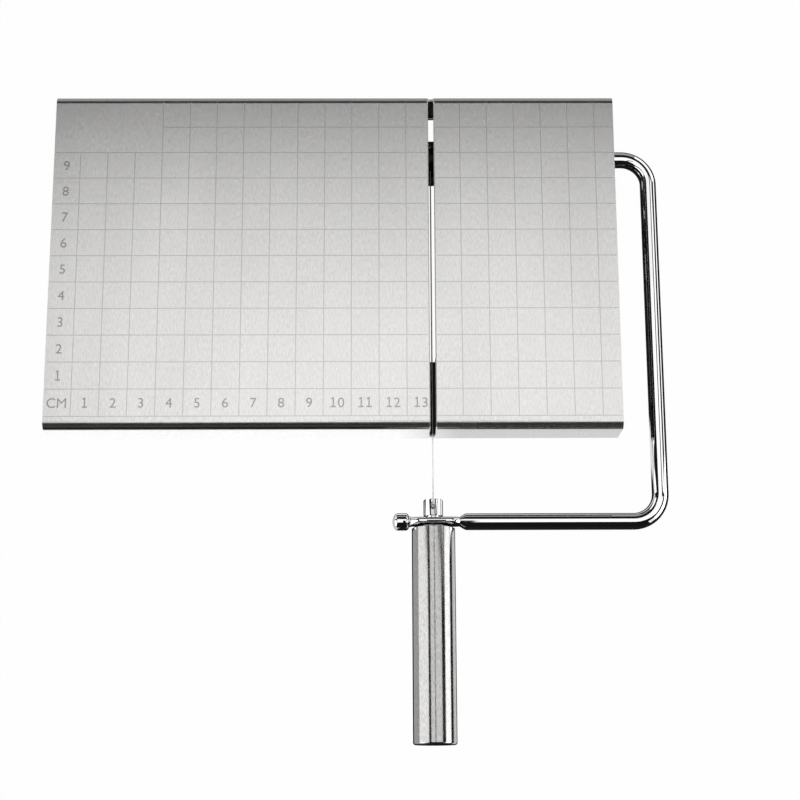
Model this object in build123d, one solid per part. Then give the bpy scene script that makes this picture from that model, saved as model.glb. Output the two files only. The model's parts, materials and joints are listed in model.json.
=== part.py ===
"""Wire butter slicer: a folded steel board with a slot, and a bent steel arm that pulls a wire down into it.

Working frame, in millimetres: x = 0 is the slot's middle plane, y = 0 is the arm's pivot axis and z = 0 is
the table. The board's front faces -Y. Each node is moved to the row frame as it is written: there the origin
is the centre of the whole slicer's footprint, on the table.
"""
import os

from build123d import *

# ---- driving dimensions --------------------------------------------------------------------------
# board: one folded sheet
deck_width = 207.0          # left end to right end, along x
deck_depth = 127.0          # outside of the front skirt to outside of the rear skirt
deck_height = 20.0          # table to the cutting face
sheet = 1.0                 # thickness of the steel
bend_radius = 3.0           # outside radius of the two top bends
lip_bend_radius = 1.8       # outside radius of the bends into the bottom lips
lip_width = 11.0            # skirt's outside to the free edge of the bottom lip
lip_corner = 4.0            # rounded corners of the lips
foot_lift = 1.0             # table to the underside of the lips
slot_from_right = 67.9      # slot's middle to the board's right end
slot_gap = 2.0
slot_edge_break = 0.35      # chamfer of the slot's outer edges
slot_below_wire = 2.5       # how far the slot runs down the front skirt past the lowered wire
lip_notch = 12.0            # gap in the rear lip, behind the pivot

# arm: one bent rod
rod_d = 6.0
rear_edge_to_pivot = 21.0
arm_reach = 137.8           # pivot axis to the front bar's middle
arm_overhang = 13.9         # board's right end to the side bar's middle
arm_corner = 10.0           # bend radius at the rod's middle
rod_end = 16.5              # slot's middle to the rod's hidden left end
eye_thickness = 3.4         # front bar where it is pressed flat
eye_height = 9.0
eye_left = 7.5              # slot's middle to the left end of the flat
eye_right = 9.3             # slot's middle to the right end of the flat
eye_edge_break = 0.8        # chamfer round the eye
eye_runout = 3.3            # length in which the right end of the flat grows back to the full rod
knob_length = 5.9           # round end left of the flat

# handle and tensioner
handle_d = 15.5
handle_length = 76.6
handle_wall = 1.5
handle_end_break = 0.8      # chamfer of the handle's ends
handle_lift = 0.25          # lowered handle's underside above the table
handle_nut_length = 14.0
cap_depth = 6.0
stud_head_d = 7.0
stud_head_length = 6.1
stud_shank_d = 5.0
stud_flats = 4.2            # across the two flats
stud_tail = 18.0            # shank inside the handle
stud_head_break = 0.3       # chamfer of the head's two rims
stud_pitch = 0.8            # M5 thread
stud_turns = 3              # turns of the handle from a tight wire to one slack enough to unhook
slit_depth = 1.3            # narrow part of the stud's keyhole slot
slit_width = 0.9

# slicing wire
wire_d = 0.5
ball_d = 1.6
ball_seat_depth = 0.3       # how far the rear ball is sunk into the hub

# moulded pieces under the board
flange_thickness = 3.5      # mounting flanges, against the underside of the deck
block_half_depth = 8.35     # pivot axis to the outside of a hanger's body
shoulder = 1.0              # slope between a hanger's body and its flange
cheek_thickness = 8.0
hub_width = 6.6
hub_d = 9.0
wall_below_wire = 1.8       # top of the trough's walls, below the lowered wire
outer_block_width = 10.0
outer_block_inset = 8.0     # board's right end to the outer bearing's flange face
bridge_depth = 27.3
bridge_half_width = 8.0
bridge_ear = 8.5
bridge_wall = 1.6
groove_gap = 2.4
groove_below_wire = 3.5
block_fillet = 1.2

# bushes, clip and fasteners
bush_wall = 1.0
bush_flange_d = 10.5
bush_flange = 0.8
clip_thickness = 0.7
clip_d = 9.5
clip_groove_d = 5.0
clip_washer = 0.6
stud_screw_d = 3.0          # M3 weld studs
nut_flats = 5.5
nut_height = 2.4
thread_past_nut = 1.0
foot_d = 8.4
foot_stem_d = 4.0
foot_barb_d = 5.6
foot_tip_d = 3.2
foot_barb = 1.6
foot_inset = 18.0           # board's end to a foot's middle

# clearances
running = 0.05              # radial, between a shaft and what it turns in
slide_fit = 0.1             # faces that slide or screw past each other
side_play = 0.3             # hub between its cheeks
hole_clear = 0.2            # radial, fasteners and loose holes

# ---- places worked out from them -----------------------------------------------------------------
pivot_height = handle_d / 2 + handle_lift
deck_right = slot_from_right
deck_left = slot_from_right - deck_width
deck_rear = rear_edge_to_pivot
deck_front = deck_rear - deck_depth
deck_mid_x = (deck_left + deck_right) / 2
deck_mid_y = (deck_front + deck_rear) / 2
under_deck = deck_height - sheet
lip_top = foot_lift + sheet
rod_r = rod_d / 2
hub_r = hub_d / 2
bush_r = rod_r + running + bush_wall
side_bar_x = deck_right + arm_overhang
front_bar_y = -arm_reach
eye_front = front_bar_y - eye_thickness / 2
eye_back = front_bar_y + eye_thickness / 2
handle_front = eye_front - slide_fit
handle_end = handle_front - handle_length
bore_r = handle_d / 2 - handle_wall
stud_seat = eye_back + slide_fit
stud_tip = stud_seat + stud_head_length
knob_start = -eye_left - (rod_d - eye_thickness) / 2
knob_end = knob_start - knob_length
ball_r = ball_d / 2
wire_hole_r = wire_d / 2 + hole_clear
front_ball_y = stud_tip - slit_depth - ball_r - slide_fit
stud_travel = stud_pitch * stud_turns
rear_ball_y = hub_r + ball_r - ball_seat_depth
trough_r = rear_ball_y + ball_r + hole_clear
gap_half = hub_width / 2 + side_play
cheek_mid = gap_half + cheek_thickness / 2
cheek_out = gap_half + cheek_thickness
flange_bottom = under_deck - flange_thickness
block_bottom = foot_lift
nut_corner_r = nut_flats / 3 ** 0.5
stud_y = block_half_depth + shoulder + nut_corner_r + hole_clear
block_flange_half = stud_y + nut_corner_r + hole_clear
outer_block_x = deck_right - outer_block_inset - bush_flange - outer_block_width / 2
bridge_front = deck_front + sheet
bridge_rear = bridge_front + bridge_depth
bridge_stud_x = bridge_half_width + bridge_ear / 2
bridge_stud_y = (bridge_front + bridge_rear) / 2
foot_y_inset = (lip_width + lip_bend_radius) / 2
stud_points = (
    [(x, y) for x in (cheek_mid, -cheek_mid) for y in (stud_y, -stud_y)]
    + [(outer_block_x, stud_y), (outer_block_x, -stud_y)]
    + [(bridge_stud_x, bridge_stud_y), (-bridge_stud_x, bridge_stud_y)]
)
foot_points = [
    (x, y)
    for x in (deck_left + foot_inset, deck_right - foot_inset)
    for y in (deck_front + foot_y_inset, deck_rear - foot_y_inset)
]
left_end = deck_left
right_end = side_bar_x + rod_r
row_origin = Vector((left_end + right_end) / 2, (handle_end + deck_rear) / 2, 0)


# ---- small helpers -------------------------------------------------------------------------------
def block(x0, x1, y0, y1, z0, z1):
    """A box given by its low and high faces."""
    return Pos((x0 + x1) / 2, (y0 + y1) / 2, (z0 + z1) / 2) * Box(x1 - x0, y1 - y0, z1 - z0)


def rod_x(radius, x0, x1, y=0.0, z=pivot_height):
    """A cylinder along x from x0 to x1."""
    return Pos((x0 + x1) / 2, y, z) * Rot(0, 90, 0) * Cylinder(radius, x1 - x0)


def rod_y(radius, y0, y1, x=0.0, z=pivot_height):
    """A cylinder along y from y0 to y1."""
    return Pos(x, (y0 + y1) / 2, z) * Rot(90, 0, 0) * Cylinder(radius, y1 - y0)


def rod_z(radius, z0, z1, x, y):
    """A cylinder along z from z0 to z1."""
    return Pos(x, y, (z0 + z1) / 2) * Cylinder(radius, z1 - z0)


def upright_edges(shape):
    return shape.edges().filter_by(Axis.Z)


# ---- board ---------------------------------------------------------------------------------------
def channel_section(inset, top_radius, lip_radius):
    """Rounded rectangle of the folded sheet's section, inset from its outside, drawn in the yz plane."""
    height = deck_height - foot_lift - 2 * inset
    face = Rectangle(deck_depth - 2 * inset, height)
    face = fillet(face.vertices().group_by(Axis.Y)[-1], top_radius)
    face = fillet(face.vertices().group_by(Axis.Y)[0], lip_radius)
    middle = (deck_height + foot_lift) / 2
    return Plane.YZ * Pos(deck_mid_y, middle) * face


def slot_cutter():
    """The slot: from the foot of the rear bend, along the deck and down the front skirt, with round ends."""
    half = slot_gap / 2
    top = deck_height + sheet
    front_end = pivot_height - slot_below_wire + half
    rear_end = deck_height - bend_radius + half
    front = block(-half, half, deck_front - sheet, deck_mid_y, front_end, top)
    front += rod_y(half, deck_front - sheet, deck_mid_y, z=front_end)
    rear = block(-half, half, deck_mid_y, deck_rear + sheet, rear_end, top)
    rear += rod_y(half, deck_mid_y, deck_rear + sheet, z=rear_end)
    return front + rear


def deck_plate():
    outside = channel_section(0, bend_radius, lip_bend_radius)
    inside = channel_section(sheet, bend_radius - sheet, lip_bend_radius - sheet)
    plate = extrude(outside - inside, deck_width / 2, both=True)
    plate = Pos(deck_mid_x, 0, 0) * plate
    plate -= block(deck_left - 1, deck_right + 1, deck_front + lip_width, deck_rear - lip_width, 0, lip_top + 1)
    lip_ends = [
        edge for edge in upright_edges(plate)
        if edge.center().Z < lip_top and deck_front + sheet < edge.center().Y < deck_rear - sheet
    ]
    plate = fillet(lip_ends, lip_corner)
    notch = block(
        -lip_notch / 2, lip_notch / 2,
        deck_rear - lip_width - 1, deck_rear - lip_bend_radius, 0, lip_top + 0.5,
    )
    plate -= notch
    for x, y in foot_points:
        plate -= rod_z(foot_stem_d / 2, 0, lip_top + 1, x, y)
    plate -= slot_cutter()
    rims = [edge for edge in plate.edges() if on_slot_rim(edge)]
    return chamfer(rims, slot_edge_break)


def on_slot_rim(edge):
    """Whether an edge runs along the slot on the outside of the sheet."""
    middle = edge @ 0.5
    start = edge @ 0
    if max(abs(middle.X), abs(start.X)) > slot_gap / 2 + 0.001:
        return False
    if middle.Z < lip_top + 1:
        return False
    return all(outside_distance(edge @ t) < 0.01 for t in (0, 0.5, 1))


def outside_distance(point):
    """How deep a point lies under the outside of the folded sheet."""
    flat = min(deck_height - point.Z, point.Y - deck_front, deck_rear - point.Y)
    over = point.Z - (deck_height - bend_radius)
    out = max(point.Y - (deck_rear - bend_radius), (deck_front + bend_radius) - point.Y)
    if over > 0 and out > 0:
        return bend_radius - (over ** 2 + out ** 2) ** 0.5
    return flat


def feet():
    """Push-in rubber feet: a pad under the lip, a stem through it and a barb above."""
    solids = []
    for x, y in foot_points:
        pad = rod_z(foot_d / 2, 0, foot_lift, x, y)
        stem = rod_z(foot_stem_d / 2, foot_lift, lip_top, x, y)
        barb = Pos(x, y, lip_top + foot_barb / 2) * Cone(foot_barb_d / 2, foot_tip_d / 2, foot_barb)
        solids.append(pad + stem + barb)
    return solids


# ---- moulded pieces under the board --------------------------------------------------------------
def hanger_section():
    """Outline of a hanging bearing: a flange under the deck and a body that narrows round the rod."""
    body = block_half_depth
    edge = block_flange_half
    points = [
        (-edge, under_deck), (-edge, flange_bottom), (-body - shoulder, flange_bottom),
        (-body, flange_bottom - 2 * shoulder), (-body, block_bottom), (body, block_bottom),
        (body, flange_bottom - 2 * shoulder), (body + shoulder, flange_bottom),
        (edge, flange_bottom), (edge, under_deck),
    ]
    return Plane.YZ * make_face(Polyline(*points, close=True))


def hanger(x0, x1):
    """A bearing block between two planes, with room for its bush and its two weld studs."""
    body = extrude(hanger_section(), x1 - x0)
    body = Pos(x0, 0, 0) * body
    low = [
        edge for edge in body.edges().filter_by(Axis.X)
        if edge.center().Z < block_bottom + 0.1
    ]
    body = fillet(low, block_fillet * 2)
    body -= rod_x(bush_r, x0, x1)
    for y in (stud_y, -stud_y):
        body -= stud_hole((x0 + x1) / 2, y)
    return body


def stud_hole(x, y):
    """Clearance for a weld stud through a flange."""
    return rod_z(stud_screw_d / 2 + hole_clear, flange_bottom, under_deck, x, y)


def pivot_block():
    """Two hangers, one each side of the slot, joined under the wire by a trough round the hub."""
    body = hanger(gap_half, cheek_out) + hanger(-cheek_out, -gap_half)
    depth = block_half_depth
    trough = block(-cheek_mid, cheek_mid, -depth, depth, block_bottom, pivot_height - wall_below_wire)
    low = [edge for edge in trough.edges().filter_by(Axis.X) if edge.center().Z < block_bottom + 0.1]
    trough = fillet(low, block_fillet * 2)
    return body + (trough - rod_x(trough_r, -cheek_mid, cheek_mid))


def outer_bearing():
    """The hanger near the board's right end."""
    half = outer_block_width / 2
    return hanger(outer_block_x - half, outer_block_x + half)


def front_bridge():
    """Moulding that joins the two halves of the deck behind the front skirt, with a groove for the wire."""
    half = bridge_half_width
    body = block(-half, half, bridge_front, bridge_rear, lip_top, under_deck)
    edge = half + bridge_ear
    body += block(-edge, edge, bridge_front, bridge_rear, flange_bottom, under_deck)
    nose = [
        edge for edge in body.edges().filter_by(Axis.X)
        if edge.center().Z > under_deck - 0.1 and edge.center().Y < bridge_front + 0.1
    ]
    body = fillet(nose, bend_radius - sheet)
    body = fillet([edge for edge in upright_edges(body) if edge.center().Y > bridge_rear - 0.1], block_fillet)
    toe = [
        edge for edge in body.edges().filter_by(Axis.X)
        if edge.center().Z < lip_top + 0.1 and edge.center().Y < bridge_front + 0.1
    ]
    body = fillet(toe, lip_bend_radius - sheet)
    floor = pivot_height - groove_below_wire
    groove = groove_gap / 2
    body -= block(-groove, groove, bridge_front - 1, bridge_rear + 1, floor, under_deck + 1)
    body -= core_pockets()
    for x in (bridge_stud_x, -bridge_stud_x):
        body -= stud_hole(x, bridge_stud_y)
    return body


def core_pockets():
    """Pockets moulded up from below, behind the front lip, to keep the walls even."""
    x0 = groove_gap / 2 + bridge_wall
    x1 = bridge_half_width - bridge_wall
    y0 = deck_front + lip_width + bridge_wall
    y1 = bridge_rear - bridge_wall
    return block(x0, x1, y0, y1, 0, flange_bottom) + block(-x1, -x0, y0, y1, 0, flange_bottom)


# ---- bushes and fasteners ------------------------------------------------------------------------
def flanged_bush(face, towards, length):
    """A bush whose flange sits on a face of its block; towards is +1 or -1, the way the flange looks."""
    inner = rod_r + running
    barrel = rod_x(bush_r, min(face, face - towards * length), max(face, face - towards * length))
    outer = face + towards * bush_flange
    flange = rod_x(bush_flange_d / 2, min(face, outer), max(face, outer))
    bore = rod_x(inner, face - length - 1, face + length + 1)
    return barrel + flange - bore


def pivot_bushes():
    return [flanged_bush(cheek_out, 1, cheek_thickness), flanged_bush(-cheek_out, -1, cheek_thickness)]


def outer_bush():
    return flanged_bush(outer_block_x + outer_block_width / 2, 1, outer_block_width)


def weld_studs():
    """Threaded studs welded under the deck."""
    length = flange_thickness + nut_height + thread_past_nut
    return [rod_z(stud_screw_d / 2, under_deck - length, under_deck, x, y) for x, y in stud_points]


def stud_nuts():
    """Hexagon nuts that hold the moulded pieces up against the deck."""
    hexagon = RegularPolygon(nut_flats / 2, 6, major_radius=False)
    blank = extrude(hexagon - Circle(stud_screw_d / 2), nut_height)
    return [Pos(x, y, flange_bottom - nut_height) * blank for x, y in stud_points]


# ---- arm -----------------------------------------------------------------------------------------
def bent_rod():
    """The round rod along its whole length: pivot run, side bar and front bar."""
    path = FilletPolyline(
        (-rod_end, 0, pivot_height),
        (side_bar_x, 0, pivot_height),
        (side_bar_x, front_bar_y, pivot_height),
        (knob_end, front_bar_y, pivot_height),
        radius=arm_corner,
    )
    section = Plane(origin=path @ 0, z_dir=path % 0) * Circle(rod_r)
    return sweep(section, path=path)


def press_cutter(side):
    """What the press takes off one side of the front bar; side is +1 or -1 along y."""
    flat = eye_thickness / 2
    rise = rod_r - flat
    top = rod_r + 1
    bend = (eye_runout ** 2 + rise ** 2) / (2 * rise)
    line = Polyline((-eye_left - rise, top), (-eye_left - rise, rod_r))
    near = RadiusArc((-eye_left - rise, rod_r), (-eye_left, flat), rise)
    base = Line((-eye_left, flat), (eye_right, flat))
    far = RadiusArc((eye_right, flat), (eye_right + eye_runout, rod_r), bend)
    back = Polyline((eye_right + eye_runout, rod_r), (eye_right + eye_runout, top), (-eye_left - rise, top))
    face = make_face([line, near, base, far, back])
    if side < 0:
        face = mirror(face, Plane.XZ)
    return Pos(0, front_bar_y, pivot_height) * extrude(face, eye_height, both=True)


def eye_plate():
    """The pressed eye seen along y: wider than the rod at its middle and fading back into it."""
    half = eye_height / 2
    low = rod_r - 0.3
    upper = ThreePointArc((-eye_left, low), (0, half), (eye_right, low))
    right = Line((eye_right, low), (eye_right, -low))
    lower = ThreePointArc((eye_right, -low), (0, -half), (-eye_left, -low))
    left = Line((-eye_left, -low), (-eye_left, low))
    face = make_face([upper, right, lower, left])
    plate = extrude(Plane.XZ * face, eye_thickness / 2, both=True)
    long_edges = [
        edge for edge in plate.edges()
        if abs(abs(edge.center().Y) - eye_thickness / 2) < 0.01 and abs(edge.center().Z) > low
    ]
    plate = chamfer(long_edges, eye_edge_break)
    return Pos(0, front_bar_y, pivot_height) * plate


def keyed_bar(radius, across, y0, y1):
    """A bar along y with two flats that face left and right."""
    bar = rod_y(radius, y0, y1)
    return bar & block(-across / 2, across / 2, y0, y1, pivot_height - radius, pivot_height + radius)


def arm_rod():
    rod = bent_rod()
    knob_rim = [
        edge for edge in rod.edges().filter_by(GeomType.CIRCLE)
        if abs(edge.center().X - knob_end) < 0.01 and edge.center().Y < front_bar_y / 2
    ]
    rod = fillet(knob_rim, rod_r * 0.7)
    rod -= press_cutter(1)
    rod -= press_cutter(-1)
    rod += eye_plate()
    rod -= keyed_bar(
        stud_shank_d / 2 + slide_fit, stud_flats + 2 * slide_fit, eye_front - 1, eye_back + 1,
    )
    rod -= rod_y(wire_hole_r, -rod_d, rod_d)
    rod -= clip_groove()
    tail = [
        edge for edge in rod.edges().filter_by(GeomType.CIRCLE)
        if abs(edge.center().X + rod_end) < 0.01
    ]
    return chamfer(tail, 0.5)


def clip_place():
    """Low and high x of the groove for the retaining clip."""
    high = -cheek_out - bush_flange - slide_fit - clip_washer
    return high - clip_thickness, high


def clip_groove():
    x0, x1 = clip_place()
    return rod_x(rod_d, x0, x1) - rod_x(clip_groove_d / 2, x0, x1)


def retaining_clip():
    """E-clip sprung into the groove, open below."""
    x0, x1 = clip_place()
    ring = rod_x(clip_d / 2, x0, x1) - rod_x(clip_groove_d / 2, x0, x1)
    mouth = clip_groove_d * 0.8
    ring -= block(x0 - 1, x1 + 1, -mouth / 2, mouth / 2, pivot_height - clip_d, pivot_height)
    relief = clip_groove_d * 0.3
    for y in (clip_groove_d / 2, -clip_groove_d / 2):
        ring -= rod_x(relief, x0 - 1, x1 + 1, y=y, z=pivot_height + clip_groove_d * 0.25)
    return ring


def clip_thrust_washer():
    x1 = -cheek_out - bush_flange - slide_fit
    x0 = x1 - clip_washer
    return rod_x(bush_flange_d / 2, x0, x1) - rod_x(rod_r + running, x0 - 1, x1 + 1)


def wire_hub():
    """Black sleeve on the rod between the cheeks: it centres the arm and seats the wire's rear ball."""
    half = hub_width / 2
    hub = rod_x(hub_r, -half, half)
    hub -= rod_x(rod_r, -half - 1, half + 1)
    hub -= rod_y(wire_hole_r, -hub_d, hub_d)
    return hub - Pos(0, rear_ball_y, pivot_height) * Sphere(ball_r)


# ---- wire ----------------------------------------------------------------------------------------
def slicing_wire():
    return rod_y(wire_d / 2, front_ball_y - ball_r, rear_ball_y + ball_r)


def ball_end(y):
    """A ball crimped on the wire."""
    ball = Pos(0, y, pivot_height) * Sphere(ball_r)
    return ball - rod_y(wire_d / 2, y - ball_d, y + ball_d)


def rear_ball():
    return ball_end(rear_ball_y)


def front_ball():
    return ball_end(front_ball_y)


# ---- handle and tensioner ------------------------------------------------------------------------
def tension_stud():
    """Slotted head that holds the wire's front ball, and a flatted shank screwed into the handle."""
    head = rod_y(stud_head_d / 2, stud_seat, stud_tip)
    head = chamfer(head.edges().filter_by(GeomType.CIRCLE), stud_head_break)
    stud = head + keyed_bar(stud_shank_d / 2, stud_flats, handle_front - stud_tail, stud_seat + stud_head_break)
    pocket_r = ball_r + slide_fit
    top = pivot_height + stud_head_d
    pocket_front = stud_tip - slit_depth
    pocket_back = front_ball_y - stud_travel - ball_r - hole_clear
    slit = slit_width / 2
    stud -= block(-slit, slit, pocket_front - ball_r, stud_tip + 1, pivot_height - slit, top)
    stud -= block(-pocket_r, pocket_r, pocket_back, pocket_front, pivot_height, top)
    return stud - rod_y(pocket_r, pocket_back, pocket_front)


def handle_shell():
    tube = rod_y(handle_d / 2, handle_end, handle_front)
    tube = chamfer(tube.edges().filter_by(GeomType.CIRCLE), handle_end_break)
    return tube - rod_y(bore_r, handle_end - 1, handle_front + 1)


def handle_nut():
    """Plug in the front of the handle, threaded for the stud."""
    plug = rod_y(bore_r, handle_front - handle_nut_length, handle_front)
    return plug - rod_y(stud_shank_d / 2 + running, handle_front - handle_nut_length - 1, handle_front + 1)


def handle_cap():
    """Plug that closes the far end of the handle."""
    plug = rod_y(bore_r, handle_end, handle_end + cap_depth)
    return plug - rod_y(bore_r - handle_wall, handle_end + handle_wall, handle_end + cap_depth + 1)


# ---- output --------------------------------------------------------------------------------------
NODES = {
    "deck_plate": deck_plate,
    "front_bridge": front_bridge,
    "pivot_block": pivot_block,
    "outer_bearing": outer_bearing,
    "pivot_bushes": pivot_bushes,
    "outer_bush": outer_bush,
    "weld_studs": weld_studs,
    "stud_nuts": stud_nuts,
    "feet": feet,
    "arm_rod": arm_rod,
    "wire_hub": wire_hub,
    "clip_thrust_washer": clip_thrust_washer,
    "retaining_clip": retaining_clip,
    "slicing_wire": slicing_wire,
    "rear_ball": rear_ball,
    "front_ball": front_ball,
    "tension_stud": tension_stud,
    "handle_shell": handle_shell,
    "handle_nut": handle_nut,
    "handle_cap": handle_cap,
}


def write_node(name, make):
    """Build one node, move it to the row frame and write its STEP file."""
    made = make()
    solids = []
    for piece in made if isinstance(made, list) else [made]:
        solids.extend(piece.solids())
    moved = [Location(-row_origin) * solid for solid in solids]
    whole = moved[0] if len(moved) == 1 else Compound(children=moved)
    whole.label = name
    export_step(whole, os.path.join("parts", name + ".step"))
    print(f"{name}: {len(moved)} solid(s), {sum(solid.volume for solid in moved):.1f} mm3")


def main():
    os.makedirs("parts", exist_ok=True)
    for name, make in NODES.items():
        write_node(name, make)
    print("row origin in the working frame:", row_origin)
    print(f"pivot axis height: {pivot_height:.3f}")


main()
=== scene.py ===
import json
import math

import bmesh
import bpy
from mathutils import Matrix, Vector


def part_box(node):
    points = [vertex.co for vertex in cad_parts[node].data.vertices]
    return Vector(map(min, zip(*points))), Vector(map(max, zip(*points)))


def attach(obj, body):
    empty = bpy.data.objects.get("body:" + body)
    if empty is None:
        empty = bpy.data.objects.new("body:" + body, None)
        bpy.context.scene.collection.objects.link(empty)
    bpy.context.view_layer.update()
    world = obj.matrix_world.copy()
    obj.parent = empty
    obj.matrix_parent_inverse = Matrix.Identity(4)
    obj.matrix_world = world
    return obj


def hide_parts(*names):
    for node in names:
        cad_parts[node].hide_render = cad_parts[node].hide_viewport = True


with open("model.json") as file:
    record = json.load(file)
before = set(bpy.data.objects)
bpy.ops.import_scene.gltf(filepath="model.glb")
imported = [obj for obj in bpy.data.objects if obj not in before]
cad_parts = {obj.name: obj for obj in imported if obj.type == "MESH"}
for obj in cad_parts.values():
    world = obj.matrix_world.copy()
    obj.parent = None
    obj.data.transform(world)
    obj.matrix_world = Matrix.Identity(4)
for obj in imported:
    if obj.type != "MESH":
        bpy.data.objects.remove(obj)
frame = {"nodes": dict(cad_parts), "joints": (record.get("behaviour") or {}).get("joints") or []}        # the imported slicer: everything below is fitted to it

mm = 0.001
weld = 0.0001 * mm              # vertices closer than this are one
crease = math.radians(38)       # two faces that turn more than this meet at a crisp corner
scene = bpy.context.scene
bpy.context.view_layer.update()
joints = {joint["name"]: joint for joint in frame["joints"]}
pivot = Vector(joints["arm_lift"]["pos_m"])            # on the arm's hinge axis, in the slot's middle plane
gripAxis = Vector(joints["handle_spin"]["pos_m"])      # where the handle meets the front bar
deckLow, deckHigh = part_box("deck_plate")
armLow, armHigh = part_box("arm_rod")
shellLow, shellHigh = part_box("handle_shell")
print("frame loaded")


def vertsOf(geom):
    return [item for item in geom if isinstance(item, bmesh.types.BMVert)]


def edgesOf(geom):
    return [item for item in geom if isinstance(item, bmesh.types.BMEdge)]


def newPiece(name, bm, body, material, replaced=()):
    bm.normal_update()
    for edge in bm.edges:
        edge.smooth = len(edge.link_faces) == 2 and edge.calc_face_angle() < crease
    mesh = bpy.data.meshes.new(name)
    bm.to_mesh(mesh)
    bm.free()
    mesh.polygons.foreach_set("use_smooth", [True] * len(mesh.polygons))
    piece = bpy.data.objects.new(name, mesh)
    scene.collection.objects.link(piece)
    mesh.materials.append(material)
    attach(piece, body)
    if replaced:
        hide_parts(*replaced)
    return piece


def dress(material, *names):
    for name in names:
        node = frame["nodes"][name]
        node.data.materials.clear()
        node.data.materials.append(material)


def newMaterial(name):
    material = bpy.data.materials.new(name)
    material.use_nodes = True
    nodes = material.node_tree.nodes
    return material, nodes, material.node_tree.links, nodes["Principled BSDF"]


def feed(links, value, socket):      # a number is set on the socket, and an output is linked to it
    if isinstance(value, (int, float)):
        socket.default_value = value
    else:
        links.new(value, socket)


def ranged(nodes, links, value, before, after):      # carries one range of numbers over to another
    remap = nodes.new("ShaderNodeMapRange")
    for name, number in zip(("From Min", "From Max", "To Min", "To Max"), (*before, *after)):
        remap.inputs[name].default_value = number
    links.new(value, remap.inputs["Value"])
    return remap.outputs["Result"]


def combined(nodes, links, operation, one, other):
    result = nodes.new("ShaderNodeMath")
    result.operation = operation
    feed(links, one, result.inputs[0])
    feed(links, other, result.inputs[1])
    return result.outputs["Value"]


# what the finishes share: the part of the noise that counts, and how fine and deep the textures are
texture = {"noise": (0.25, 0.75), "detail": 2.0, "haze": 900, "brushDepth": 0.02 * mm,
           "mouldDetail": 3.0, "mouldDepth": 0.05 * mm, "mouldRelief": 0.35}


def grain(nodes, links, scale, detail=texture["detail"]):      # a smaller scale stretches it along that axis
    where = nodes.new("ShaderNodeTexCoord")
    mapping = nodes.new("ShaderNodeMapping")
    noise = nodes.new("ShaderNodeTexNoise")
    mapping.inputs["Scale"].default_value = scale
    noise.inputs["Scale"].default_value = 1.0
    noise.inputs["Detail"].default_value = detail
    links.new(where.outputs["Object"], mapping.inputs["Vector"])
    links.new(mapping.outputs["Vector"], noise.inputs["Vector"])
    return noise.outputs["Fac"]


def tint(nodes, links, value, dark, light):
    ramp = nodes.new("ShaderNodeValToRGB")
    for stop, place, colour in zip(ramp.color_ramp.elements, texture["noise"], (dark, light)):
        stop.position = place
        stop.color = (*colour, 1)
    links.new(value, ramp.inputs["Fac"])
    return ramp.outputs["Color"]


def relief(nodes, links, value, strength, depth):
    bump = nodes.new("ShaderNodeBump")
    bump.inputs["Strength"].default_value = strength
    bump.inputs["Distance"].default_value = depth
    links.new(value, bump.inputs["Height"])
    return bump.outputs["Normal"]


def brushed(name, finish):
    material, nodes, links, shader = newMaterial(name)
    shader.inputs["Metallic"].default_value = 1.0
    streaks = grain(nodes, links, finish["streaks"])
    patches = grain(nodes, links, finish["patches"])
    links.new(tint(nodes, links, streaks, finish["dark"], finish["light"]), shader.inputs["Base Color"])
    dullness = ranged(nodes, links, patches, texture["noise"], finish["roughness"])
    links.new(dullness, shader.inputs["Roughness"])
    bump = relief(nodes, links, streaks, finish["relief"], texture["brushDepth"])
    links.new(bump, shader.inputs["Normal"])
    return material


def polished(name, finish):
    material, nodes, links, shader = newMaterial(name)
    shader.inputs["Metallic"].default_value = 1.0
    shader.inputs["Base Color"].default_value = (*finish["colour"], 1)
    haze = grain(nodes, links, [texture["haze"]] * 3)
    dullness = ranged(nodes, links, haze, texture["noise"], finish["roughness"])
    links.new(dullness, shader.inputs["Roughness"])
    return material


def moulded(name, finish):
    material, nodes, links, shader = newMaterial(name)
    shader.inputs["Base Color"].default_value = (*finish["colour"], 1)
    pores = grain(nodes, links, [finish["fineness"]] * 3, texture["mouldDetail"])
    dullness = ranged(nodes, links, pores, texture["noise"], finish["roughness"])
    links.new(dullness, shader.inputs["Roughness"])
    bump = relief(nodes, links, pores, texture["mouldRelief"], texture["mouldDepth"])
    links.new(bump, shader.inputs["Normal"])
    return material


# streaks run from front to rear on the board and along the handle
deckFinish = {"streaks": (2731, 560, 560), "patches": (40, 12, 12), "dark": (0.712, 0.706, 0.697),
              "light": (0.845, 0.838, 0.828), "roughness": (0.235, 0.275), "relief": 0.60}
markFinish = {"streaks": (2731, 113, 113), "patches": (40, 12, 12), "dark": (0.55, 0.547, 0.54),
              "light": (0.62, 0.617, 0.61), "roughness": (0.255, 0.295), "relief": 0.60}
numeralFinish = {"streaks": (2731, 560, 560), "patches": (40, 12, 12), "dark": (0.40, 0.398, 0.394),
                 "light": (0.47, 0.467, 0.463), "roughness": (0.33, 0.38), "relief": 0.45}
gripFinish = {"streaks": (3200, 700, 3200), "patches": (900, 60, 900), "dark": (0.36, 0.356, 0.35),
              "light": (0.57, 0.566, 0.558), "roughness": (0.09, 0.16), "relief": 0.30}
mirrorFinish = {"colour": (0.90, 0.90, 0.90), "roughness": (0.02, 0.05)}
wireFinish = {"colour": (0.92, 0.92, 0.92), "roughness": (0.28, 0.36)}
plainFinish = {"colour": (0.62, 0.62, 0.62), "roughness": (0.25, 0.4)}
nylonFinish = {"colour": (0.012, 0.012, 0.012), "roughness": (0.38, 0.5), "fineness": 2500}
acetalFinish = {"colour": (0.80, 0.80, 0.76), "roughness": (0.3, 0.4), "fineness": 1500}
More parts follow.
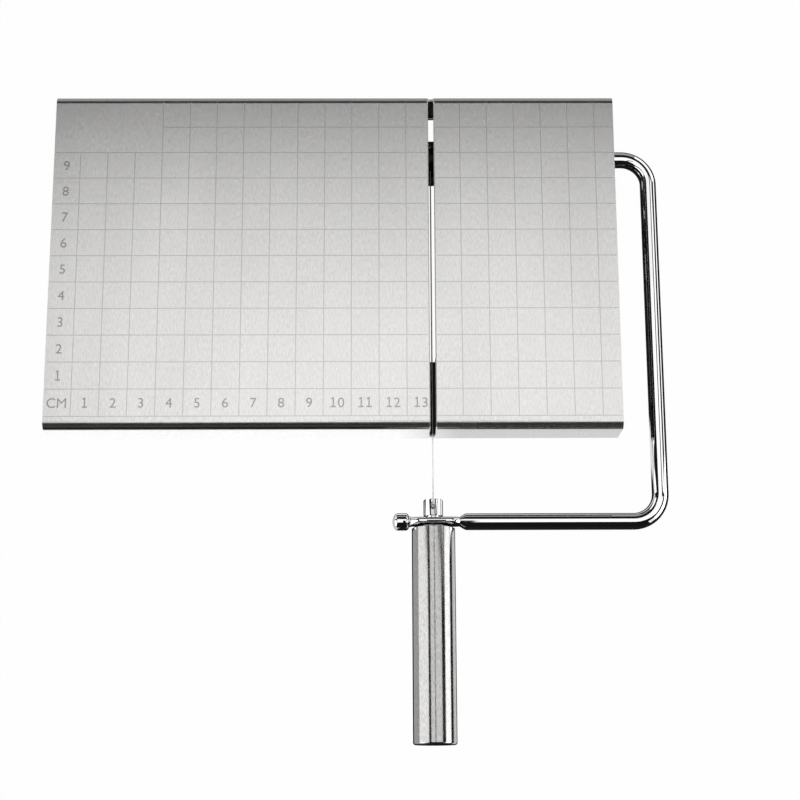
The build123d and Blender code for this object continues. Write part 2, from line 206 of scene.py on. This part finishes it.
rubberFinish = {"colour": (0.022, 0.022, 0.022), "roughness": (0.6, 0.75), "fineness": 1800}
deckSteel = brushed("deckSteel", deckFinish)
markedSteel = brushed("markedSteel", markFinish)
numeralSteel = brushed("numeralSteel", numeralFinish)
gripSteel = brushed("gripSteel", gripFinish)
mirrorSteel = polished("mirrorSteel", mirrorFinish)
wireSteel = polished("wireSteel", wireFinish)
plainSteel = polished("plainSteel", plainFinish)
blackNylon = moulded("blackNylon", nylonFinish)
whiteAcetal = moulded("whiteAcetal", acetalFinish)
blackRubber = moulded("blackRubber", rubberFinish)

dress(deckSteel, "deck_plate")
dress(gripSteel, "handle_shell", "handle_nut", "handle_cap")
dress(mirrorSteel, "arm_rod", "tension_stud")
dress(wireSteel, "slicing_wire", "rear_ball", "front_ball")
dress(plainSteel, "weld_studs", "stud_nuts", "retaining_clip")
dress(blackNylon, "front_bridge", "pivot_block", "outer_bearing", "wire_hub")
dress(whiteAcetal, "pivot_bushes", "outer_bush", "clip_thrust_washer")
dress(blackRubber, "feet")
print("finishes on the packed nodes")


# where the scale's zero lies on the deck, and what its lines look like
scale = {"cell": 10 * mm, "left": 0.2 * mm, "front": 4.5 * mm, "line": 0.33 * mm, "proud": 0.01 * mm,
         "cellsAcross": 20, "cellsDeep": 11, "bareCells": 4, "bareFrom": 10, "slotCell": 14,
         "slotMargin": 1.6 * mm, "rearMargin": 2.8 * mm, "endMargin": 0.4 * mm}
zeroX = deckLow.x - scale["left"]
zeroY = deckLow.y + scale["front"]


def gridStrokes():      # the lines as left, right, front and rear
    strokes = []
    half = scale["line"] / 2
    cell = scale["cell"]
    rearEnd = deckHigh.y - scale["rearMargin"]
    for column in range(1, scale["cellsAcross"] + 1):
        if column != scale["slotCell"]:
            x = zeroX + column * cell
            bare = column < scale["bareCells"]      # the rear left cells carry no lines
            end = zeroY + scale["bareFrom"] * cell + half if bare else rearEnd
            strokes.append((x - half, x + half, zeroY - half, end))
    bareEnd = zeroX + scale["bareCells"] * cell - half
    for row in range(scale["cellsDeep"] + 1):
        y = zeroY + row * cell
        left = bareEnd if row == scale["cellsDeep"] else deckLow.x + scale["endMargin"]
        strokes.append((left, pivot.x - scale["slotMargin"], y - half, y + half))
        strokes.append((pivot.x + scale["slotMargin"], deckHigh.x - scale["endMargin"], y - half, y + half))
    return strokes


def etchedGrid():      # one sheet of small cells, of which only the lines stay, a hair proud of the deck
    bm = bmesh.new()
    strokes = gridStrokes()
    columns = sorted({edge for stroke in strokes for edge in stroke[:2]})
    rows = sorted({edge for stroke in strokes for edge in stroke[2:]})
    bmesh.ops.create_grid(bm, x_segments=len(columns) - 1, y_segments=len(rows) - 1, size=1)
    for vert in bm.verts:
        column = round((vert.co.x + 1) / 2 * (len(columns) - 1))
        row = round((vert.co.y + 1) / 2 * (len(rows) - 1))
        vert.co = columns[column], rows[row], deckHigh.z - scale["proud"]
    spare = []
    for face in bm.faces:
        x, y = face.calc_center_median().xy
        if not any(left < x < right and front < y < rear for left, right, front, rear in strokes):
            spare.append(face)
    bmesh.ops.delete(bm, geom=spare, context="FACES")
    raised = bmesh.ops.extrude_face_region(bm, geom=bm.faces[:])["geom"]
    bmesh.ops.translate(bm, vec=(0, 0, 2 * scale["proud"]), verts=vertsOf(raised))
    bmesh.ops.recalc_face_normals(bm, faces=bm.faces)
    return newPiece("etched_grid", bm, "board", markedSteel)


numerals = {"height": 3.7 * mm, "size": 5.1 * mm, "pitch": 2.8 * mm, "stroke": 0.45 * mm, "foot": 1.9 * mm,
            "across": 13, "deep": 9}
# a one's flag: placed by shares of its length, and a little prouder than the stem that it crosses
flag = {"length": 1.0 * mm, "out": 0.30, "down": 0.36, "turn": 38, "proud": 1.2}


def engraveText(bm, words, x, y):      # words centred on a point of the deck
    text = bpy.data.curves.new("numeral", "FONT")
    text.body = words
    text.size = numerals["size"]
    text.align_x = "CENTER"
    text.extrude = scale["proud"]
    holder = bpy.data.objects.new("numeral", text)
    scene.collection.objects.link(holder)
    bpy.context.view_layer.update()
    mesh = bpy.data.meshes.new_from_object(holder.evaluated_get(bpy.context.evaluated_depsgraph_get()))
    mesh.transform(Matrix.Translation((x, y - numerals["height"] / 2, deckHigh.z)))
    bm.from_mesh(mesh)
    bpy.data.objects.remove(holder)
    bpy.data.curves.remove(text)
    bpy.data.meshes.remove(mesh)


def engraveBar(bm, x, y, width, depth, turn=0, proud=1):
    place = Matrix.Translation((x, y, deckHigh.z)) @ Matrix.Rotation(math.radians(turn), 4, "Z")
    size = Matrix.Diagonal((width, depth, 2 * scale["proud"] * proud, 1))
    bmesh.ops.create_cube(bm, size=1, matrix=place @ size)


def engraveOne(bm, x, y):      # a one with a foot and a flag
    stroke, foot, height = numerals["stroke"], numerals["foot"], numerals["height"]
    engraveBar(bm, x, y, stroke, height)
    half = (foot - stroke) / 2
    for side in (-1, 1):
        engraveBar(bm, x + side * (stroke + half) / 2, y - (height - stroke) / 2, half, stroke)
    flagX = x - flag["out"] * flag["length"]
    flagY = y + height / 2 - flag["down"] * flag["length"]
    engraveBar(bm, flagX, flagY, flag["length"], stroke, flag["turn"], flag["proud"])


def engraveNumber(bm, number, x, y):
    digits = str(number)
    for index, digit in enumerate(digits):
        place = x + (index - (len(digits) - 1) / 2) * numerals["pitch"]
        if digit == "1":
            engraveOne(bm, place, y)
        else:
            engraveText(bm, digit, place, y)


def etchedNumerals():
    bm = bmesh.new()
    cell = scale["cell"]
    engraveText(bm, "CM", zeroX + cell / 2, zeroY + cell / 2)
    for number in range(1, numerals["across"] + 1):
        engraveNumber(bm, number, zeroX + (number + 0.5) * cell, zeroY + cell / 2)
    for number in range(1, numerals["deep"] + 1):
        engraveNumber(bm, number, zeroX + cell / 2, zeroY + (number + 0.5) * cell)
    return newPiece("etched_numerals", bm, "board", numeralSteel)


grid = etchedGrid()
marks = etchedNumerals()
print("scale etched on the deck")


# the arm: one rod, bent twice, its front end pressed into an eye with a knob beyond it;
# distances along the front bar are from the stud's axis, and a squareness of 2 is round
rod = {"radius": 3.0 * mm, "sides": 64, "bend": 10.0 * mm, "bendSteps": 24, "tailBreak": 0.5 * mm,
       "grooveDepth": 0.5 * mm, "support": 0.4 * mm}
eye = {"thickness": 3.2 * mm, "height": 9.0 * mm, "left": -7.5 * mm, "right": 9.3 * mm, "runout": 2.8 * mm,
       "runoutPower": 0.75, "bulgePower": 6, "squareness": 2.6, "steps": 72}
knob = {"neckRadius": 2.0 * mm, "shoulder": 1.3 * mm, "length": 5.9 * mm, "radius": 3.1 * mm,
        "cheek": 1.1 * mm, "flat": 2.8 * mm, "steps": 14, "openSteps": 0.6}
circular = 2


def ringVerts(ring):      # each once, in the ring's own order, so that every run sums them alike
    return list(dict.fromkeys(vert for edge in ring for vert in edge.verts))


def pull(bm, ring, vector):      # a new ring along the rod
    made = bmesh.ops.extrude_edge_only(bm, edges=ring)["geom"]
    verts = vertsOf(made)
    bmesh.ops.translate(bm, vec=vector, verts=verts)
    fresh = set(verts)
    return [edge for edge in edgesOf(made) if edge.verts[0] in fresh and edge.verts[1] in fresh]


def run(bm, ring, vector):      # a straight stretch; a close ring at each end keeps its shading true
    vector = Vector(vector)
    nearEnd = vector.normalized() * rod["support"]
    ring = pull(bm, ring, nearEnd)
    ring = pull(bm, ring, vector - 2 * nearEnd)
    return pull(bm, ring, nearEnd)


def swell(bm, ring, factor):
    verts = ringVerts(ring)
    middle = sum((vert.co for vert in verts), Vector()) / len(verts)
    bmesh.ops.scale(bm, vec=(1, factor, factor), space=Matrix.Translation(-middle), verts=verts)


def sweepBend(bm, ring, centre):      # a quarter turn to the right, seen from above
    made = bmesh.ops.spin(
        bm, geom=ringVerts(ring) + ring, cent=centre, axis=(0, 0, 1), dvec=(0, 0, 0),
        angle=-math.pi / 2, steps=rod["bendSteps"], use_merge=False, use_duplicate=False)
    return edgesOf(made["geom_last"])


def smoothStep(value):
    value = min(max(value, 0.0), 1.0)
    return value * value * (3 - 2 * value)


def pressedSection(along):      # half thickness, half height and squareness
    radius, flat, squareness = rod["radius"], eye["thickness"] / 2, eye["squareness"]
    grow = smoothStep(max((along - eye["right"]) / eye["runout"], 0.0) ** eye["runoutPower"])
    middle = (eye["left"] + eye["right"]) / 2
    reach = (eye["right"] - eye["left"]) / 2
    bulge = 1 - min(abs(along - middle) / reach, 1.0) ** eye["bulgePower"]
    high = radius + (eye["height"] / 2 - radius) * bulge
    return flat + (radius - flat) * grow, high, squareness + (circular - squareness) * grow


def knobRings():      # neck, cheek, barrel and dome: distances along the bar and radii
    neck, radius = knob["neckRadius"], knob["radius"]
    start = eye["left"] - knob["shoulder"]
    rings = [(start, neck)]
    for step in range(1, knob["steps"] + 1):
        turn = math.pi / 2 * step / knob["steps"]
        rings.append((start - knob["cheek"] * (1 - math.cos(turn)), neck + (radius - neck) * math.sin(turn)))
    dome = start - knob["cheek"] - knob["flat"]
    depth = knob["length"] - knob["cheek"] - knob["flat"]
    for step in range(knob["steps"]):
        turn = math.pi / 2 * step / (knob["steps"] - knob["openSteps"])
        rings.append((dome - depth * math.sin(turn), radius * math.cos(turn)))
    return rings


def armRod():
    bm = bmesh.new()
    radius, bend, tailBreak = rod["radius"], rod["bend"], rod["tailBreak"]
    sideX = armHigh.x - radius
    frontY = armLow.y + radius
    cornerX = sideX - bend
    start = Matrix.Translation((armLow.x, pivot.y, pivot.z)) @ Matrix.Rotation(math.pi / 2, 4, "Y")
    bmesh.ops.create_circle(
        bm, cap_ends=True, segments=rod["sides"], radius=radius - tailBreak, matrix=start)
    ring = pull(bm, bm.edges[:], (tailBreak, 0, 0))
    swell(bm, ring, radius / (radius - tailBreak))
    clipLow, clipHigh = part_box("retaining_clip")
    ring = pull(bm, ring, (clipLow.x - armLow.x - tailBreak, 0, 0))
    groove = 1 - rod["grooveDepth"] / radius
    ring = pull(bm, ring, (0, 0, 0))
    swell(bm, ring, groove)
    ring = pull(bm, ring, (clipHigh.x - clipLow.x, 0, 0))
    ring = pull(bm, ring, (0, 0, 0))
    swell(bm, ring, 1 / groove)
    ring = run(bm, ring, (cornerX - clipHigh.x, 0, 0))
    ring = sweepBend(bm, ring, (cornerX, pivot.y - bend, pivot.z))
    ring = run(bm, ring, (0, frontY + bend - (pivot.y - bend), 0))
    ring = sweepBend(bm, ring, (cornerX, frontY + bend, pivot.z))
    pressFrontBar(bm, ring, cornerX - pivot.x, Vector((pivot.x, frontY, pivot.z)))
    bmesh.ops.remove_doubles(bm, verts=bm.verts, dist=weld)
    bmesh.ops.recalc_face_normals(bm, faces=bm.faces)
    return newPiece("arm_bow", bm, "arm", mirrorSteel, ["arm_rod"])


def signedPower(value, power):
    return math.copysign(abs(value) ** power, value)


def reshape(ring, middle, old, fresh):      # from one pressed section to another
    for vert in ringVerts(ring):
        across = signedPower((vert.co.y - middle.y) / old[0], old[2] / 2)
        up = signedPower((vert.co.z - middle.z) / old[1], old[2] / 2)
        turn = math.atan2(up, across)
        vert.co.y = middle.y + signedPower(math.cos(turn), 2 / fresh[2]) * fresh[0]
        vert.co.z = middle.z + signedPower(math.sin(turn), 2 / fresh[2]) * fresh[1]


def pressFrontBar(bm, ring, place, middle):
    section = (rod["radius"], rod["radius"], circular)
    eyeEnd = eye["right"] + eye["runout"]
    ring = run(bm, ring, (eyeEnd - place, 0, 0))
    place = eyeEnd
    stations = []
    for step in range(1, eye["steps"] + 1):
        along = eyeEnd + (eye["left"] - eyeEnd) * step / eye["steps"]
        stations.append((along, pressedSection(along)))
    stations += [(along, (size, size, circular)) for along, size in knobRings()]
    for along, fresh in stations:
        ring = pull(bm, ring, (along - place, 0, 0))
        reshape(ring, middle, section, fresh)
        place, section = along, fresh
    bmesh.ops.contextual_create(bm, geom=ring)


bow = armRod()
print("arm bent and pressed")


# the handle: a tube, rounded in front and turned to a cone at the eye
grip = {"wall": 1.5 * mm, "corner": 0.8 * mm, "cornerSteps": 8, "coneIn": 1.4 * mm, "coneLength": 0.8 * mm,
        "support": 0.4 * mm, "sides": 96}


def handleSleeve():
    bm = bmesh.new()
    radius = (shellHigh.x - shellLow.x) / 2
    centreX = (shellHigh.x + shellLow.x) / 2
    inner = radius - grip["wall"]
    support = grip["corner"] + grip["support"]
    coneStart, coneEnd = shellHigh.y - grip["coneLength"], radius - grip["coneIn"]
    outline = ((inner, shellLow.y), (radius, shellLow.y), (radius, shellLow.y + support),
               (radius, shellHigh.y - support), (radius, coneStart), (coneEnd, shellHigh.y),
               (inner, shellHigh.y))
    verts = [bm.verts.new((centreX + out, y, gripAxis.z)) for out, y in outline]
    for index, vert in enumerate(verts):
        bm.edges.new((vert, verts[(index + 1) % len(verts)]))
    bmesh.ops.bevel(
        bm, geom=[verts[1]], offset=grip["corner"], offset_type="OFFSET", segments=grip["cornerSteps"],
        profile=0.5, affect="VERTICES", material=-1)
    bmesh.ops.spin(
        bm, geom=bm.verts[:] + bm.edges[:], cent=(centreX, 0, gripAxis.z), axis=(0, 1, 0), dvec=(0, 0, 0),
        angle=2 * math.pi, steps=grip["sides"], use_merge=True, use_duplicate=False)
    bmesh.ops.remove_doubles(bm, verts=bm.verts, dist=weld)
    bmesh.ops.recalc_face_normals(bm, faces=bm.faces)
    return newPiece("handle_sleeve", bm, "handle", gripSteel, ["handle_shell"])


sleeve = handleSleeve()
print("handle turned")


# the camera: its place in metres and its turn in degrees
view = {"place": (0.00975, -0.14005, 0.61019), "turn": (13.52, -0.48, -0.24), "lens": 76.5, "sensor": 36,
        "clipEnd": 10}


def placeCamera():
    data = bpy.data.cameras.new("camera")
    data.lens = view["lens"]
    data.sensor_width = view["sensor"]
    data.clip_end = view["clipEnd"]
    holder = bpy.data.objects.new("camera", data)
    holder.location = view["place"]
    holder.rotation_euler = [math.radians(angle) for angle in view["turn"]]
    scene.collection.objects.link(holder)
    scene.camera = holder


placeCamera()

# the studio, in metres: soft boxes overhead, in its corners, on its walls and in front, and strips of table
overheads = {
    "overheadLeft": {"x": (-0.350, 0.030), "y": (-0.31, 0.12), "radiance": 1.17},
    "overheadRight": {"x": (0.095, 0.80), "y": (-0.31, 0.12), "radiance": 1.17},
    "overheadBack": {"x": (-0.42, 0.38), "y": (0.12, 0.36), "radiance": 1.13},
    "overheadRear": {"x": (-0.42, 0.38), "y": (0.36, 0.51), "radiance": 1.0},
    "overheadFar": {"x": (0.60, 1.30), "y": (0.18, 0.60), "radiance": 1.17},
}
corners = {
    "rearLeft": (-1.1, 1.1),
    "rearRight": (1.1, 1.1),
    "frontLeft": (-1.35, -0.8),
    "frontRight": (1.35, -0.8),
}
cornerBox = {"middle": 0.5, "width": 1.05, "height": 1.0, "radiance": 0.95}
walls = {
    "leftBox": {"x": -0.9, "y": (-0.9, 0.18), "z": (0.0, 1.45), "radiance": 1.6},
    "rightBox": {"x": 0.98, "y": (-0.7, 0.16), "z": (0.0, 0.63), "radiance": 2.1},
    "farRightBox": {"x": 0.98, "y": (0.16, 0.70), "z": (0.0, 0.24), "radiance": 1.3},
}
strips = {
    "rightStrip": {"x": (0.041, 0.065), "y": (-0.135, -0.025), "radiance": 1.0},
    "leftStrip": {"x": (-0.30, 0.012), "y": (-0.20, -0.03), "radiance": 0.6},
}
frontBox = {"y": -1.6, "middle": 0.55, "width": 1.9, "height": 0.50, "radiance": 0.06}
studio = {"ceiling": 1.0, "deckWalls": 0.6, "stripLift": 0.1 * mm}


def softBox(name, place, aim, width, depth, radiance):
    data = bpy.data.lights.new(name, "AREA")
    data.shape = "RECTANGLE"
    data.size = width
    data.size_y = depth
    data.energy = radiance * math.pi * width * depth      # the power that gives an even face this radiance
    lamp = bpy.data.objects.new(name, data)
    lamp.location = place
    lamp.rotation_euler = (Vector(aim) - Vector(place)).to_track_quat("-Z", "Y").to_euler()
    scene.collection.objects.link(lamp)
    return lamp


def overhead(name, box):
    (left, right), (front, rear) = box["x"], box["y"]
    place = ((left + right) / 2, (front + rear) / 2, studio["ceiling"])
    softBox(name, place, (place[0], place[1], 0), right - left, rear - front, box["radiance"])


def wallBox(name, box, radiance):      # faces straight across the table
    (front, rear), (bottom, top) = box["y"], box["z"]
    place = (box["x"], (front + rear) / 2, (bottom + top) / 2)
    return softBox(name, place, (0, place[1], place[2]), rear - front, top - bottom, radiance)


def uprightBox(name, x, y, box):      # faces the middle of the table
    middle = box["middle"]
    return softBox(name, (x, y, middle), (0, 0, middle), box["width"], box["height"], box["radiance"])


def tableStrip(name, box):      # shines upwards from the table
    (left, right), (front, rear) = box["x"], box["y"]
    x, y = (left + right) / 2, (front + rear) / 2
    place = (x, y, studio["stripLift"])
    return softBox(name, place, (x, y, 1), right - left, rear - front, box["radiance"])


def linkLamp(lamp, pieces):      # the lamp lights these pieces alone
    lit = bpy.data.collections.new(lamp.name)
    for piece in pieces:
        lit.objects.link(piece)
    lamp.light_linking.receiver_collection = lit
    lamp.visible_camera = False


for name, box in overheads.items():
    overhead(name, box)

for name, (x, y) in corners.items():
    uprightBox(name, x, y, cornerBox)

deck, stud = frame["nodes"]["deck_plate"], frame["nodes"]["tension_stud"]
deckTop = [deck, grid, marks]
others = [piece for piece in frame["nodes"].values() if piece != deck] + [sleeve, bow]
for name, box in walls.items():      # dimmer for the deck, which would clip to white seen from the sides
    linkLamp(wallBox(name, box, box["radiance"]), others)
    linkLamp(wallBox(name + "Deck", box, studio["deckWalls"]), deckTop)

linkLamp(tableStrip("rightStrip", strips["rightStrip"]), [sleeve, stud])
linkLamp(tableStrip("leftStrip", strips["leftStrip"]), [sleeve, stud, bow])
linkLamp(uprightBox("frontBox", 0, frontBox["y"], frontBox), deckTop + [sleeve])


# the floor, and the patches of it that look pale in the steel, where all the rest looks dark
beyond = 9      # past every edge of the floor
floor = {"size": 8.0, "below": 0.03 * mm, "colour": (0.8, 0.8, 0.8), "roughness": 0.9, "glow": 0.985}
floorPatches = (
    {"x": (-beyond, 0.045), "y": (-0.022, -0.002), "softX": 0.030, "softY": 0.003, "level": 1.25},
    {"x": (-beyond, 0.110), "y": (-0.020, -0.002), "softX": 0.008, "softY": 0.003, "level": 0.8},
    {"x": (-beyond, beyond), "y": (0.13, beyond), "softX": 0.004, "softY": 0.004, "level": 0.35},
)
# the room in the steel: dark, with a pale band on the rear wall that fades with the direction's z and y
room = {"dark": 0.008, "wall": 0.35, "fadeZ": (0.40, 0.50), "fadeY": (0.30, 0.60)}


def blended(nodes, links, factor, first, second):
    mix = nodes.new("ShaderNodeMix")
    mix.data_type = "FLOAT"
    links.new(factor, mix.inputs["Factor"])
    feed(links, first, mix.inputs["A"])
    feed(links, second, mix.inputs["B"])
    return mix.outputs["Result"]


def split(nodes, links, source):      # the x, y and z of a place or direction
    where = nodes.new("ShaderNodeTexCoord")
    parts = nodes.new("ShaderNodeSeparateXYZ")
    links.new(where.outputs[source], parts.inputs["Vector"])
    return parts.outputs


def stretch(nodes, links, value, ends, soft, level):      # level between the ends and nothing outside them
    low, high = ends
    rise = ranged(nodes, links, value, (low - soft, low + soft), (0.0, level))
    fall = ranged(nodes, links, value, (high - soft, high + soft), (1.0, 0.0))
    return combined(nodes, links, "MULTIPLY", rise, fall)


def pool(nodes, links, place, patch):
    across = stretch(nodes, links, place["X"], patch["x"], patch["softX"], patch["level"])
    along = stretch(nodes, links, place["Y"], patch["y"], patch["softY"], 1.0)
    return combined(nodes, links, "MULTIPLY", across, along)


def seenDirectly(nodes, links, path):
    camera, through = path.outputs["Is Camera Ray"], path.outputs["Is Transmission Ray"]
    return combined(nodes, links, "MAXIMUM", camera, through)


def floorMaterial():      # white to the camera, and pale patches in the dark to the steel
    material, nodes, links, shader = newMaterial("paleFloor")
    shader.inputs["Base Color"].default_value = (*floor["colour"], 1)
    shader.inputs["Roughness"].default_value = floor["roughness"]
    place = split(nodes, links, "Object")
    reflected = room["dark"]
    for patch in floorPatches:
        reflected = combined(nodes, links, "MAXIMUM", reflected, pool(nodes, links, place, patch))
    path = nodes.new("ShaderNodeLightPath")
    seen = seenDirectly(nodes, links, path)
    glow = nodes.new("ShaderNodeEmission")
    links.new(blended(nodes, links, seen, reflected, 1.0), glow.inputs["Strength"])
    shown = combined(nodes, links, "MAXIMUM", seen, path.outputs["Is Glossy Ray"])
    mix = nodes.new("ShaderNodeMixShader")
    links.new(ranged(nodes, links, shown, (0.0, 1.0), (0.0, floor["glow"])), mix.inputs["Fac"])
    links.new(shader.outputs["BSDF"], mix.inputs[1])
    links.new(glow.outputs["Emission"], mix.inputs[2])
    links.new(mix.outputs["Shader"], nodes["Material Output"].inputs["Surface"])
    return material


def layFloor():
    bm = bmesh.new()
    under = Matrix.Translation((0, 0, -floor["below"]))
    bmesh.ops.create_grid(bm, x_segments=1, y_segments=1, size=floor["size"] / 2, matrix=under)
    mesh = bpy.data.meshes.new("floor")
    bm.to_mesh(mesh)
    bm.free()
    mesh.materials.append(floorMaterial())
    sheet = bpy.data.objects.new("floor", mesh)
    scene.collection.objects.link(sheet)


def studioWorld():      # white behind the object to the camera, and the room to the steel
    world = bpy.data.worlds.new("studio")
    world.use_nodes = True
    scene.world = world
    nodes, links = world.node_tree.nodes, world.node_tree.links
    back = nodes["Background"]
    direction = split(nodes, links, "Generated")
    low = ranged(nodes, links, direction["Z"], room["fadeZ"], (1.0, 0.0))
    behind = ranged(nodes, links, direction["Y"], room["fadeY"], (0.0, room["wall"]))
    band = combined(nodes, links, "MULTIPLY", low, behind)
    reflected = combined(nodes, links, "MAXIMUM", band, room["dark"])
    seen = seenDirectly(nodes, links, nodes.new("ShaderNodeLightPath"))
    links.new(blended(nodes, links, seen, reflected, 1.0), back.inputs["Strength"])
    back.inputs["Color"].default_value = (1, 1, 1, 1)


layFloor()
studioWorld()
scene.view_settings.view_transform = "Standard"
print("stage set")
